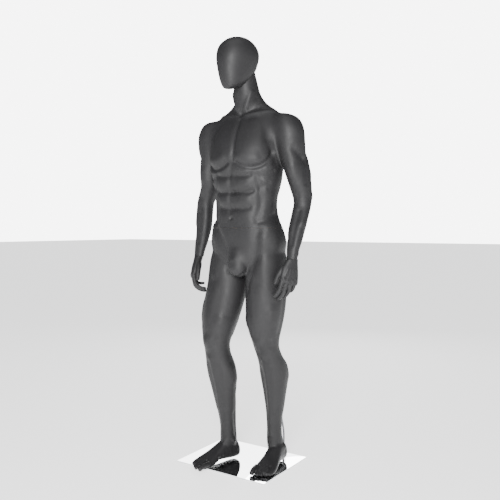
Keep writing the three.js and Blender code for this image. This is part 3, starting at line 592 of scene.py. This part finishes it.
HIPS = [
    ([(122, -74, 1052), (108, -85, 1008), (107, -86, 971), (97, -84, 925), (84, -80, 882),
      (70, -78, 826)], -7, 22),
    ([(78, -80, 850), (60, -72, 800), (48, -66, 750)], -4, 14),
    ([(128, -70, 1030), (129, -77, 984), (128, -72, 921), (134, -75, 838), (140, -70, 755),
      (146, -60, 650)],
     3.5, 27),
    ([(-116, -72, 1048), (-88, -90, 1008), (-62, -95, 962), (-48, -94, 915), (-40, -84, 876),
      (-34, -70, 826)],
     -8, 17),
    ([(-126, -66, 1030), (-114, -82, 960), (-108, -84, 900), (-112, -86, 800)], 4, 22),
    ([(6, -100, 960), (8, -112, 915), (8, -114, 870)], 4, 34),
    ([(-46, -86, 880), (-34, -86, 846), (-14, -84, 828), (8, -84, 823), (30, -84, 830),
      (50, -80, 858)], -9, 11),
    ([(4, 116, 1010), (3, 128, 960), (3, 124, 910), (3, 108, 856)], -18, 12),
    ([(72, 128, 925)], 5, 46), ([(-66, 128, 925)], 5, 46),
    ([(16, 104, 844), (70, 112, 830), (132, 92, 840)], -9, 14),
    ([(-16, 106, 844), (-70, 114, 830), (-130, 94, 840)], -9, 14),
    ([(150, 44, 940), (158, 30, 890)], -5, 30), ([(-142, 44, 940), (-150, 30, 890)], -5, 30),
]


def leg_strokes(rows, side, knee, turn):
    """Thigh, knee, shin, calf and ankle. knee is the kneecap's height, and turn how far it faces out."""
    def at(places, depth, width):
        return on(rows, side, [(z, degrees + turn) for z, degrees in places], depth, width)

    return [
        at([(knee + 4, 0)], 6, 24),
        at([(knee + 48, -34), (knee + 40, 0), (knee + 46, 34)], -1.5, 18),
        at([(knee - 34, -40), (knee - 44, 0), (knee - 34, 40)], -2.5, 15),
        at([(knee + 34, -46), (knee + 4, -46), (knee - 30, -38)], -4.5, 14),
        at([(knee + 34, 46), (knee + 4, 46), (knee - 26, 40)], -4.5, 14),
        at([(knee - 70, 0)], 3, 15),
        at([(knee + 130, -56), (knee + 90, -50), (knee + 60, -46)], 4.5, 27),
        at([(knee + 190, 46), (knee + 120, 44), (knee + 70, 42)], 4.5, 27),
        at([(knee + 270, 0), (knee + 160, -2), (knee + 60, 0)], 3, 34),
        at([(knee + 260, -34), (knee + 150, -28), (knee + 60, -22)], -2, 22),
        at([(knee + 260, 28), (knee + 150, 26), (knee + 60, 22)], -1.5, 20),
        at([(knee + 290, 88), (knee + 160, 86), (knee + 30, 80)], -4, 18),
        at([(knee - 60, -10), (knee - 180, -14), (knee - 300, -10), (knee - 420, -6)], 3.5, 9),
        at([(knee - 80, 26), (knee - 190, 24), (knee - 320, 20)], 3, 17),
        at([(knee - 90, -46), (knee - 200, -42), (knee - 310, -36)], -3.5, 14),
        at([(knee - 80, -112), (knee - 140, -118), (knee - 210, -124)], 7, 34),
        at([(knee - 70, 132), (knee - 130, 134), (knee - 190, 138)], 5, 28),
        at([(knee - 90, 180), (knee - 170, 180), (knee - 240, 180)], -4, 15),
        at([(knee - 224, -128), (knee - 246, -160), (knee - 242, 160), (knee - 220, 128)], -3.5, 18),
        at([(knee + 40, 180), (knee - 30, 180)], -5, 24),
        at([(knee + 110, -150), (knee + 10, -138)], 4.5, 15),
        at([(knee + 110, 150), (knee + 10, 138)], 4.5, 15),
        at([(knee + 290, 180), (knee + 170, 180), (knee + 70, 180)], -4, 18),
        at([(230, 112), (150, 120), (100, 124)], -5, 14),
        at([(230, -112), (150, -120), (100, -124)], -5, 14),
    ]


def arm_strokes(rows, side):
    at = lambda places, depth, width: on(rows, side, places, depth, width)
    return [
        at([(1440, 70), (1395, 80)], 5, 38),
        at([(1378, 24), (1340, 56), (1316, 90), (1338, 124), (1378, 156)], -4.5, 18),
        at([(1320, 20), (1270, 6), (1220, -4)], 6, 26),
        at([(1340, 90), (1270, 76), (1200, 62)], -5, 14),
        at([(1360, 140), (1290, 138), (1230, 142)], 6, 24),
        at([(1250, 176), (1190, 176)], -3, 16),
        at([(1174, 0)], -4, 20),
        at([(1146, 168)], 5, 15),
        at([(1200, 118), (1150, 100), (1100, 72), (1030, 50)], 5, 20),
        at([(1160, 130), (1090, 110), (1000, 96)], -4, 11),
        at([(1140, -40), (1070, -44), (990, -40)], 4, 20),
        at([(1120, 14), (1040, 6), (950, 2)], -3, 11),
        at([(924, 120)], 3, 10),
    ]


LEFT_HEEL, LEFT_TURN = (98, 141, 0), 7
RIGHT_HEEL, RIGHT_TURN = (-84, 52, 0), 16


def foot_strokes(heel, turn, side):
    angle = math.radians(turn) * side
    ahead = np.array([math.sin(angle), -math.cos(angle), 0])
    outward = np.array([math.cos(angle), math.sin(angle), 0]) * side
    spot = lambda a, s, z: tuple(np.array(heel) + ahead * a + outward * s + np.array([0, 0, z]))
    made = [
        ([spot(52, -34, 92)], 8, 12), ([spot(42, 33, 78)], 8, 11),
        ([spot(60, 38, 60), spot(44, 40, 50), spot(26, 36, 56)], -3, 10),
        ([spot(60, -36, 60), spot(40, -38, 56)], -3, 12),
        ([spot(104, -34, 30), spot(140, -38, 24)], -7, 18),
        ([spot(70, -10, 98), spot(112, -22, 76), spot(160, -30, 50), spot(200, -33, 36)], 3, 7),
    ]
    for (s, start, length, r), thick in zip(TOES[1:], (1.8, 1.6, 1.5, 1.3)):
        made.append(([spot(100, s * 0.35, 84), spot(150, s * 0.75, 54), spot(start, s, r * 2 + 12)], thick, 6))
    for i in range(4):
        middle = (TOES[i][0] + TOES[i + 1][0]) / 2
        depth, width = (-9, 5.5) if i == 0 else (-5, 4.5)
        cleft = [spot(184, middle * 0.95, 37), spot(206, middle, 24), spot(226, middle, 20)]
        made.append((cleft, depth, width))
    return made


figure = joined(
    [
        column("trunk", TRUNK, 128, 6, trunk_relief),
        neck_plug(0, -190, 12),
        column("front", FRONT, 48, 3),
        column("left_leg", LEFT_LEG, 72, 6),
        column("right_leg", RIGHT_LEG, 72, 6),
        column("left_arm", LEFT_ARM, 72, 6),
        column("right_arm", RIGHT_ARM, 72, 6),
        *foot(LEFT_HEEL, LEFT_TURN, 1),
        *foot(RIGHT_HEEL, RIGHT_TURN, -1),
    ],
    "figure",
)
one_skin(figure, 0.0031)

start = points_of(figure)
across, height = np.abs(start[:, 0]), start[:, 2]
armpit = swell(across, 160, 40) * np.clip((height - 1250) / 60, 0, 1)
throat = swell(height, 1580, 46) * swell(across, 0, 110)
hips = swell(height, 885, 60)
ankles = swell(height, 82, 34) * 0.5
toes = np.clip((60 - height) / 30, 0, 1)
shoulder = swell(across, 158, 34) * np.clip((height - 1385) / 40, 0, 1)
groin = hips * np.clip((-start[:, 1] - 20) / 30, 0, 1) * swell(across, 0, 70)
relax(figure, 90, 0.8 * shoulder)
relax(figure, 70, np.clip(0.8 * armpit + 0.8 * throat + 0.35 * hips - groin, 0, 0.8) * (1 - toes))
relax(figure, 22, np.clip(0.1 + 0.5 * hips + 0.8 * ankles - 0.3 * groin, 0, 0.75) * (1 - toes))
relax(figure, 3, 0.5, 1.04)
model(
    figure,
    TORSO_MIDDLE + TORSO_LEFT + TORSO_RIGHT + TORSO_BACK + TORSO_BACK_SIDES + HIPS
    + leg_strokes(LEFT_LEG, 1, 538, 7) + leg_strokes(RIGHT_LEG, -1, 538, 14)
    + arm_strokes(LEFT_ARM, 1) + arm_strokes(RIGHT_ARM, -1)
    + foot_strokes(LEFT_HEEL, LEFT_TURN, 1) + foot_strokes(RIGHT_HEEL, RIGHT_TURN, -1),
)
relax(figure, 2, 0.5, 1.04)

# ----------------------------------------------------------------------------------------------------
# Parting the shells
# The plug is sawn at the joints, as the moulds are, leaving a hair's gap. Each cut end is laminate round a
# plywood board. The stud-side board stands through the gap and rests on the other, so no light shows.
# ----------------------------------------------------------------------------------------------------
WALL, BOARD, SEAM, FIT = 3.5, 12, 0.6, 0.3
FAR = 1900  # beyond everything
HIPS_REACH = 197  # wider than the hips, and short of the forearms
ARMPIT_HEIGHT = 1262  # a shoulder's boards stop here, above the free part of the arm


def joint_frame(centre, direction, across):
    z = Vector(direction).normalized()
    y = z.cross(Vector(across)).normalized()
    x = y.cross(z)
    turn = Matrix((x, y, z)).transposed().to_4x4()
    return Matrix.Translation((Vector(centre) + Vector(FIGURE_ON_PLATE)) / 1000) @ turn


SHOULDER_TILT = math.radians(4.4)
HIP_TILT = math.radians(42)
tilt = (math.cos(SHOULDER_TILT), 0, math.sin(SHOULDER_TILT))
JOINTS = {
    "neck": joint_frame(NECK_CENTRE, NECK_DIRECTION, (1, 0, 0)),
    "waist": joint_frame((3, 2, 1034), (0, 0, 1), (1, 0, 0)),
    "left_shoulder": joint_frame((159, 20, 1438), tilt, (0, -1, 0)),
    "right_shoulder": joint_frame((-159, 17, 1438), (-tilt[0], 0, tilt[2]), (0, -1, 0)),
    "left_wrist": joint_frame((243, -27, 905), (0, 0, -1), (1, 0, 0)),
    "right_wrist": joint_frame((-258, -12, 905), (0, 0, -1), (1, 0, 0)),
    "right_hip": joint_frame((-90, 8, 922), (-math.sin(HIP_TILT), 0, -math.cos(HIP_TILT)), (0, -1, 0)),
}


def block(frame, low, high, reach=FAR, deep=FAR, middle=(0, 0)):
    bpy.ops.object.select_all(action="DESELECT")
    bpy.ops.mesh.primitive_cube_add(size=1)
    made = bpy.context.object
    made.data.transform(Matrix.Diagonal((2 * reach / 1000, 2 * deep / 1000, (high - low) / 1000, 1)))
    made.data.transform(Matrix.Translation((middle[0] / 1000, middle[1] / 1000, (low + high) / 2000)))
    made.data.transform(frame)
    return made


def disc(frame, radius, low, high, sides=64):
    bpy.ops.object.select_all(action="DESELECT")
    bpy.ops.mesh.primitive_cylinder_add(vertices=sides, radius=radius / 1000, depth=(high - low) / 1000)
    made = bpy.context.object
    made.data.transform(Matrix.Translation((0, 0, (low + high) / 2000)))
    made.data.transform(frame)
    return made


def copy_of(piece, name):
    made = piece.copy()
    made.data = piece.data.copy()
    made.name = name
    bpy.context.collection.objects.link(made)
    return made


def boolean(piece, tool, how, spend=True):
    apply_modifier(piece, "BOOLEAN", object=tool, operation=how, solver="MANIFOLD")
    if spend:
        bpy.data.objects.remove(tool)
    return piece


def sunk(piece, depth, name):
    made = copy_of(piece, name)
    set_points(made, points_of(piece) - depth * normals_of(piece))
    return made


inside = sunk(figure, WALL, "inside")
board_form = sunk(figure, WALL + FIT, "board_form")


def region(name, low, high, edge=0):
    """The slab between two heights of a joint's frame, kept to its own limb."""
    if name.endswith("wrist"):
        return block(JOINTS[name], low, high, reach=50, deep=50)
    board = high < FAR
    slab = block(JOINTS[name], low, high, reach=HIPS_REACH if name == "waist" and board else FAR)
    if name.endswith("shoulder") and board:
        boolean(slab, block(Matrix.Identity(4), ARMPIT_HEIGHT, 1700), "INTERSECT")
    if name == "right_hip":
        hip_side = block(Matrix.Identity(4), -500, 1300, reach=100, middle=(-50 - edge, 0))
        boolean(slab, hip_side, "INTERSECT")
    return slab


def right_underarm():
    """The inner side of the right upper arm, which the shoulder's plane alone would leave with the torso."""
    return block(Matrix.Identity(4), 1150, 1248, reach=100, middle=(-212, 0))


def sawn(name, nodes_it_stands_for, keep, waste):
    """A shell cut from the plug: what lies in keep, less each part of waste."""
    made = boolean(copy_of(figure, name), keep, "INTERSECT")
    for tool in waste:
        boolean(made, tool, "DIFFERENCE")
    made.data.materials.clear()
    made.data.materials.append(laminate)
    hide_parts(*nodes_it_stands_for)
    return made


lower_trunk = block(JOINTS["waist"], -1100, 0, reach=HIPS_REACH)
torso_waste = [
    region("left_shoulder", 0, FAR), region("right_shoulder", 0, FAR), region("neck", 0, FAR), right_underarm(),
]
right_arm_keep = boolean(region("right_shoulder", SEAM, FAR), right_underarm(), "UNION")
shells = {
    "torso": sawn("torso_skin", ["torso_shell"], region("waist", SEAM, FAR), torso_waste),
    "lower_body": sawn(
        "pelvis_and_left_leg_skin", ["pelvis_and_left_leg_shell"], lower_trunk, [region("right_hip", 0, FAR)]),
    "right_leg": sawn("right_leg_skin", ["right_leg_shell"], region("right_hip", SEAM, FAR, SEAM), []),
    "left_arm": sawn("left_arm_skin", ["left_arm_shell"], region("left_shoulder", SEAM, FAR),
                     [region("left_wrist", 0, FAR)]),
    "right_arm": sawn("right_arm_skin", ["right_arm_shell"], right_arm_keep, [region("right_wrist", 0, FAR)]),
}


def plywood_board():
    material, tree, shader = shader_nodes("birch_plywood")
    grain = noise(tree, 14, 6, (1, 9, 9))
    tree.links.new(ramp(tree, grain, (0.42, 0.27, 0.14, 1),
        (0.62, 0.44, 0.27, 1)), shader.inputs["Base Color"])
    tree.links.new(ramp(tree, grain, grey(0.62), grey(0.78)), shader.inputs["Roughness"])
    bump(tree, shader, grain, 0.25, 0.0006)
    return material


plywood = plywood_board()
# Twist-lock sizes: the plate's radius, the well's, and the plate's thickness.
LARGE, MEDIUM, SMALL = (44, 34, 4), (33, 24, 3), (13, 9.6, 2)
ENDS = [
    ("waist", "plate", "lower_body", LARGE), ("waist", "stud", "torso", LARGE),
    ("left_shoulder", "plate", "torso", MEDIUM), ("left_shoulder", "stud", "left_arm", MEDIUM),
    ("right_shoulder", "plate", "torso", MEDIUM), ("right_shoulder", "stud", "right_arm", MEDIUM),
    ("right_hip", "plate", "lower_body", MEDIUM), ("right_hip", "stud", "right_leg", MEDIUM),
    ("left_wrist", "plate", "left_arm", SMALL), ("right_wrist", "plate", "right_arm", SMALL),
]


def finish_piece(piece, body, angle=35):
    bpy.ops.object.select_all(action="DESELECT")
    piece.select_set(True)
    bpy.context.view_layer.objects.active = piece
    bpy.ops.object.shade_smooth_by_angle(angle=math.radians(angle))
    piece.select_set(False)
    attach(piece, body)
    return piece


for joint, side, body, (plate, well, thick) in ENDS:
    low, high = (-BOARD, 0) if side == "plate" else (0, SEAM + BOARD)
    recess = boolean(copy_of(inside, "recess"), region(joint, low - 1, high + 1), "INTERSECT")
    boolean(shells[body], recess, "DIFFERENCE")
    board = boolean(copy_of(board_form, f"{joint}_{side}_board_birch"), region(joint, low, high), "INTERSECT")
    frame_of = JOINTS[joint]
    if side == "plate":
        boolean(board, disc(frame_of, plate + FIT, -thick - FIT, 1), "DIFFERENCE")
        boolean(board, disc(frame_of, well, -BOARD - 1, 1), "DIFFERENCE")
    else:
        boolean(board, disc(frame_of, well + FIT, SEAM - 1, SEAM + thick + FIT), "DIFFERENCE")
    board.data.materials.clear()
    board.data.materials.append(plywood)
    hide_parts(f"{joint}_{side}_board")
    finish_piece(board, body)

boolean(shells["torso"], disc(JOINTS["neck"], NECK_RADIUS - WALL, -BOARD - 1, 1), "DIFFERENCE")

# The bore for the rod's socket, up into the calf.
LEAN = math.radians(17)
lean_axis = np.array([0, -math.sin(LEAN), math.cos(LEAN)])
ROD_FOOT = np.array([87, 171, 0.0])
ROD_BEND = ROD_FOOT + (0, 0, 112)
calf_entry = ROD_BEND + lean_axis * 153
socket_frame = joint_frame(calf_entry, lean_axis, (1, 0, 0))
boolean(shells["lower_body"], disc(socket_frame, 7.4, -40, 83.3, 32), "DIFFERENCE")
for body, shell in shells.items():
    finish_piece(shell, body)
bpy.data.objects.remove(inside)
bpy.data.objects.remove(board_form)
bpy.data.objects.remove(figure)

# ----------------------------------------------------------------------------------------------------
# Head
# A plain egg with no face, laid up in two halves. The neck stands in a sleeve inside it, so the joint hides
# behind the jaw. It glances a little to the figure's right.
# ----------------------------------------------------------------------------------------------------
HEAD = [
    (1626, 0, -120, 15, 10, 18), (1632, 0, -112, 28, 24, 32), (1646, 0, -100, 41, 43, 52),
    (1668, 0, -88, 53, 62, 74), (1695, 0, -77, 63, 79, 92), (1722, 0, -69, 71, 91, 101),
    (1748, 0, -64, 78, 98, 104), (1772, 0, -61, 82, 99, 106), (1796, 0, -60, 81, 94, 101),
    (1817, 0, -60, 73, 83, 88), (1834, 0, -60, 60, 65, 69), (1847, 0, -60, 42, 45, 48),
    (1854, 0, -60, 22, 23, 24),
]
HEAD_YAW = -8
head = column("head_skin", [(*row, 2.05) for row in HEAD], 120, 2)
head.data.transform(
    Matrix.Translation(Vector(FIGURE_ON_PLATE) / 1000)
    @ Matrix.Rotation(math.radians(HEAD_YAW), 4, "Z")
    @ Matrix.Translation(-Vector(FIGURE_ON_PLATE) / 1000)
)
one_skin(head, 0.0024)
relax(head, 14, 0.5, 0.9)
boolean(head, neck_plug(1.4, -160, 14.6), "DIFFERENCE")
head.data.materials.clear()
head.data.materials.append(laminate)
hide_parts("head_shell")
finish_piece(head, "head", 42)

# ----------------------------------------------------------------------------------------------------
# Hands
# Cast solid in the same laminate: a palm with four fingers curled at rest and a thumb. Drawn in the hand's own
# axes: down from the wrist, across towards the thumb, and in towards the palm.
# ----------------------------------------------------------------------------------------------------
PALM = [
    (-34, 0, 26, 20, 20), (-14, 0, 26, 20, 19), (4, 0, 26, 20, 19), (24, 1, 31, 19, 19),
    (48, 2, 37, 18, 18), (72, 1, 40, 16, 16),
    (92, 0, 41, 14, 13), (106, -1, 37, 10, 10),
]
FINGERS = [
    (30, 90, (42, 25, 20), 9.4, 0), (10.5, 95, (45, 28, 21), 9.6, 2), (-9.5, 92, (42, 26, 20), 9.1, 4),
    (-28, 84, (33, 19, 18), 8.0, 7),
]
THUMB, THUMB_RADII = [(28, 14, 6), (56, 36, 12), (82, 46, 17), (106, 49, 22)], [14, 12.5, 10.4, 9]


def hand(name, wrist, along, palmward, side, bends):
    down = np.array(along, float) / np.linalg.norm(along)
    inward = np.array(palmward, float) - np.dot(palmward, down) * down
    inward /= np.linalg.norm(inward)
    thumbward = np.cross(inward, down) * side
    spot = lambda d, a, p: np.array(wrist) + down * d + thumbward * a + inward * p
    stations = np.arange(PALM[0][0], PALM[-1][0] + 0.01, 3)
    rings = [
        ring(spot(d, a, 0), thumbward, inward, half, palm, back, 2.3, 40)
        for d, a, half, back, palm, _, _ in rows_at([(*row, 0, 0) for row in PALM], stations)
    ]
    parts = [loft(name, rings)]
    strokes = []
    for across, start, lengths, radius, curl in FINGERS:
        bend, place = 0.0, [start, across, 0.0]
        path = [spot(start - 22, across, 0), spot(*place)]
        for length, turn in zip(lengths, bends):
            bend += math.radians(turn + curl)
            place[0] += length * math.cos(bend)
            place[1] += length * across * 0.002
            place[2] += length * math.sin(bend)
            path.append(spot(*place))
        radii = np.array([1, 1.04, 0.96, 0.88, 0.78]) * radius
        parts.append(digit("finger", path, radii, 24))
        strokes += [
            ([spot(start - 2, across, -radius)], 2.6, 7),
            ([path[2] - inward * radius], 1.2, 5), ([path[3] - inward * radius * 0.9], 0.8, 4),
            ([spot(40, across * 0.55, -18), spot(start - 12, across * 0.95, -14)], 1.2, 3.5),
            ([spot(start - 14, across - 10, -12), spot(start + 4, across - 10, -8)], -2.2, 5),
        ]
    parts.append(digit("thumb", [spot(*p) for p in THUMB], THUMB_RADII, 24))
    strokes += [([spot(40, 34, 12)], 3, 14), ([spot(46, -30, 16), spot(70, -34, 14)], 3, 13),
        ([spot(60, 0, 18)], -3, 18)]
    made = joined(parts, name)
    one_skin(made, 0.0015)
    relax(made, 8, 0.5, 0.6)
    model(made, strokes)
    relax(made, 2, 0.5, 0.9)
    return made


for side, other in (("left", 1), ("right", -1)):
    if side == "left":
        made = hand("left_hand_cast", (243, -27, 905), (-0.02, -0.24, -1),
            (-0.85, 0.53, 0), 1, (14, 26, 20))
    else:
        made = hand("right_hand_cast", (-258, -12, 905), (-0.11, -0.31, -1),
            (0.76, 0.65, 0), -1, (26, 36, 22))
    wrist = JOINTS[f"{side}_wrist"]
    boolean(made, block(wrist, SEAM, FAR), "INTERSECT")
    boolean(made, disc(wrist, SMALL[1] + FIT, SEAM - 1, SEAM + SMALL[2] + FIT), "DIFFERENCE")
    made.data.materials.clear()
    made.data.materials.append(laminate)
    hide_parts(f"{side}_hand")
    finish_piece(made, f"{side}_hand")

# ----------------------------------------------------------------------------------------------------
# Stand
# A flat plate of mirror-polished steel, with a collar pressed into it and a bent steel rod held in the collar by
# a set screw. The rod's upper end slides into a steel socket in the left calf.
# ----------------------------------------------------------------------------------------------------


def mirror_steel():
    material, tree, shader = shader_nodes("mirror_polished_steel")
    shader.inputs["Metallic"].default_value = 1
    tree.links.new(ramp(tree, noise(tree, 3), (0.80, 0.81, 0.82, 1),
        (0.86, 0.87, 0.88, 1)), shader.inputs["Base Color"])
    shader.inputs["Roughness"].default_value = 0
    return material


def dark_rod_steel():
    material, tree, shader = shader_nodes("dark_bright_drawn_steel")
    shader.inputs["Metallic"].default_value = 1
    tree.links.new(ramp(tree, noise(tree, 30), (0.20, 0.20, 0.21, 1),
        (0.27, 0.27, 0.28, 1)), shader.inputs["Base Color"])
    drawn = noise(tree, 120, 3, (1, 1, 0.1))
    tree.links.new(ramp(tree, drawn, grey(0.2), grey(0.32)), shader.inputs["Roughness"])
    bump(tree, shader, noise(tree, 300, 2, (1, 1, 0.05)), 0.06, 0.0002)
    return material


def zinc_plate():
    material, tree, shader = shader_nodes("bright_zinc_plating")
    shader.inputs["Metallic"].default_value = 1
    tree.links.new(ramp(tree, noise(tree, 45), (0.58, 0.60, 0.63, 1),
        (0.70, 0.71, 0.72, 1)), shader.inputs["Base Color"])
    tree.links.new(ramp(tree, noise(tree, 90), grey(0.28), grey(0.42)), shader.inputs["Roughness"])
    bump(tree, shader, noise(tree, 400, 2), 0.08, 0.0002)
    return material


mirror, rod_steel, zinc = mirror_steel(), dark_rod_steel(), zinc_plate()
finishes = {"base_plate": mirror, "rod_collar": mirror, "collar_set_screw": rod_steel, "calf_rod": rod_steel,
            "calf_block": plywood}
for name, node in nodes.items():
    kept = finishes.get(name, plywood if name.endswith("board") else zinc)
    node.data.materials.clear()
    node.data.materials.append(kept)
